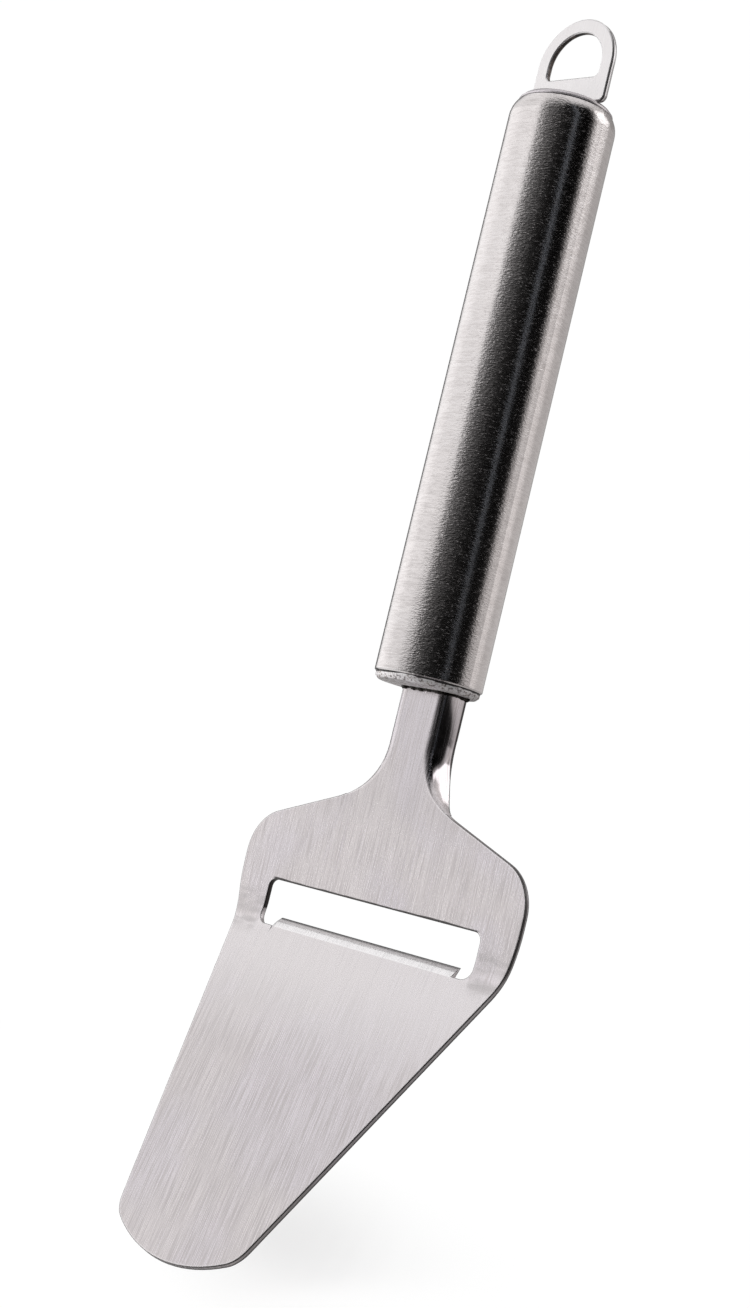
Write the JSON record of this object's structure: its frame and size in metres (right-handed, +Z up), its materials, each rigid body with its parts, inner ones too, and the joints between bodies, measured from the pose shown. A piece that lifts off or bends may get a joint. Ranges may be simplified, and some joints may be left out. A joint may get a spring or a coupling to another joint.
{
  "type": "cheese slicer",
  "caption": "Cheese slicer: a bent steel blade with a slicing slot and ground edge, folded into a channel neck and set in a capped tube handle with a hanging loop.",
  "frame": {"origin": "on the surface the slicer lies on, under the middle of its bounding box", "axes": "+Z up as it lies on a table, +Y along the handle towards the hanging loop, +X across the blade"},
  "size_m": [0.0768, 0.2578, 0.0441],
  "materials": {
    "blade_steel": "satin, brushed along the blade",
    "handle_steel": "brushed around the tube",
    "cap_steel": "satin",
    "loop_steel": "fine satin"
  },
  "bodies": {
    "root": {"blade": "blade_steel", "handle_tube": "handle_steel", "front_cap": "cap_steel", "rear_cap": "cap_steel", "hanging_loop": "loop_steel"}
  },
  "joints": []
}
